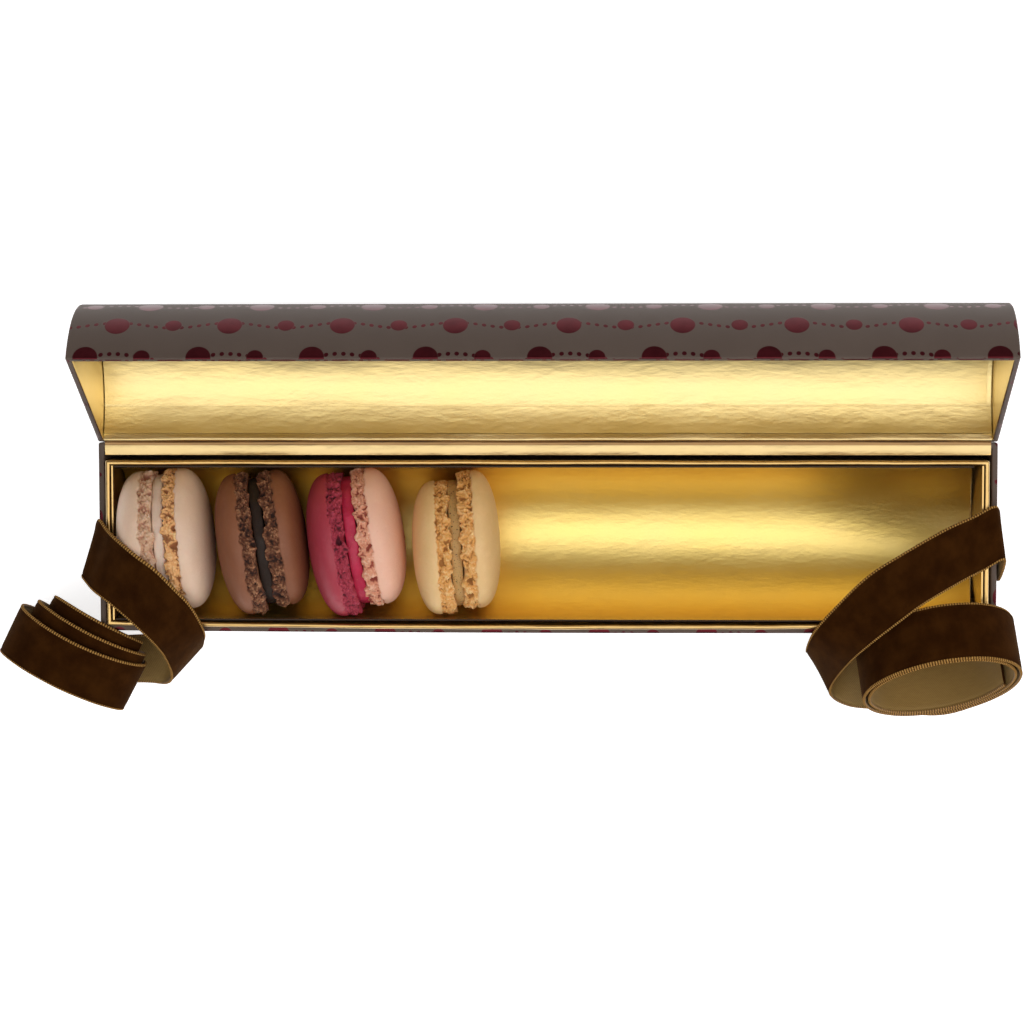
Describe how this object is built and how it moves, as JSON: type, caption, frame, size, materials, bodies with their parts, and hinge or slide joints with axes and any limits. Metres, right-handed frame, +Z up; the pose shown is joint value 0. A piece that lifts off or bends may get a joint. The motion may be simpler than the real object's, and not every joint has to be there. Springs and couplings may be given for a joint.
{
  "type": "box of macarons",
  "caption": "Slim open gift box with a domed hinged lid, a gold-lined trough partly filled with macarons on edge, and two velvet ribbons over its front corners.",
  "frame": {"origin": "centre of the underside of the box's base", "axes": "+X along the box to the right, +Y to the back where the lid hangs open, +Z up"},
  "size_m": [0.3276, 0.1329, 0.0834],
  "materials": {
    "taupe_paper": "satin",
    "gold_card": "satin",
    "rose_shell": "matte",
    "rose_cream": "matte",
    "chocolate_shell": "matte",
    "chocolate_cream": "satin",
    "raspberry_shell": "matte",
    "salmon_shell": "matte",
    "raspberry_jam": "satin",
    "vanilla_shell": "matte",
    "vanilla_cream": "matte",
    "brown_velvet": "matte"
  },
  "bodies": {
    "base": {"base_shell": "taupe_paper", "tray": "gold_card", "hinge_rail": "gold_card", "trough_liner": "gold_card", "end_card_left": "gold_card", "end_card_right": "gold_card", "rose_filling": "rose_cream", "rose_shell_left": "rose_shell", "rose_shell_right": "rose_shell", "chocolate_filling": "chocolate_cream", "chocolate_shell_left": "chocolate_shell", "chocolate_shell_right": "chocolate_shell", "raspberry_filling": "raspberry_jam", "raspberry_shell_left": "raspberry_shell", "raspberry_shell_right": "salmon_shell", "vanilla_filling": "vanilla_cream", "vanilla_shell_left": "vanilla_shell", "vanilla_shell_right": "vanilla_shell", "ribbon_left": "brown_velvet", "ribbon_right": "brown_velvet"},
    "lid": {"lid_shell": "taupe_paper", "lid_lining": "gold_card", "lid_card": "gold_card"}
  },
  "joints": [
    {"name": "lid_hinge", "type": "hinge", "parent": "base", "child": "lid", "pos_m": [0, 0.03, 0.03015], "axis": [1, 0, 0], "range_deg": [0, 80]}
  ]
}
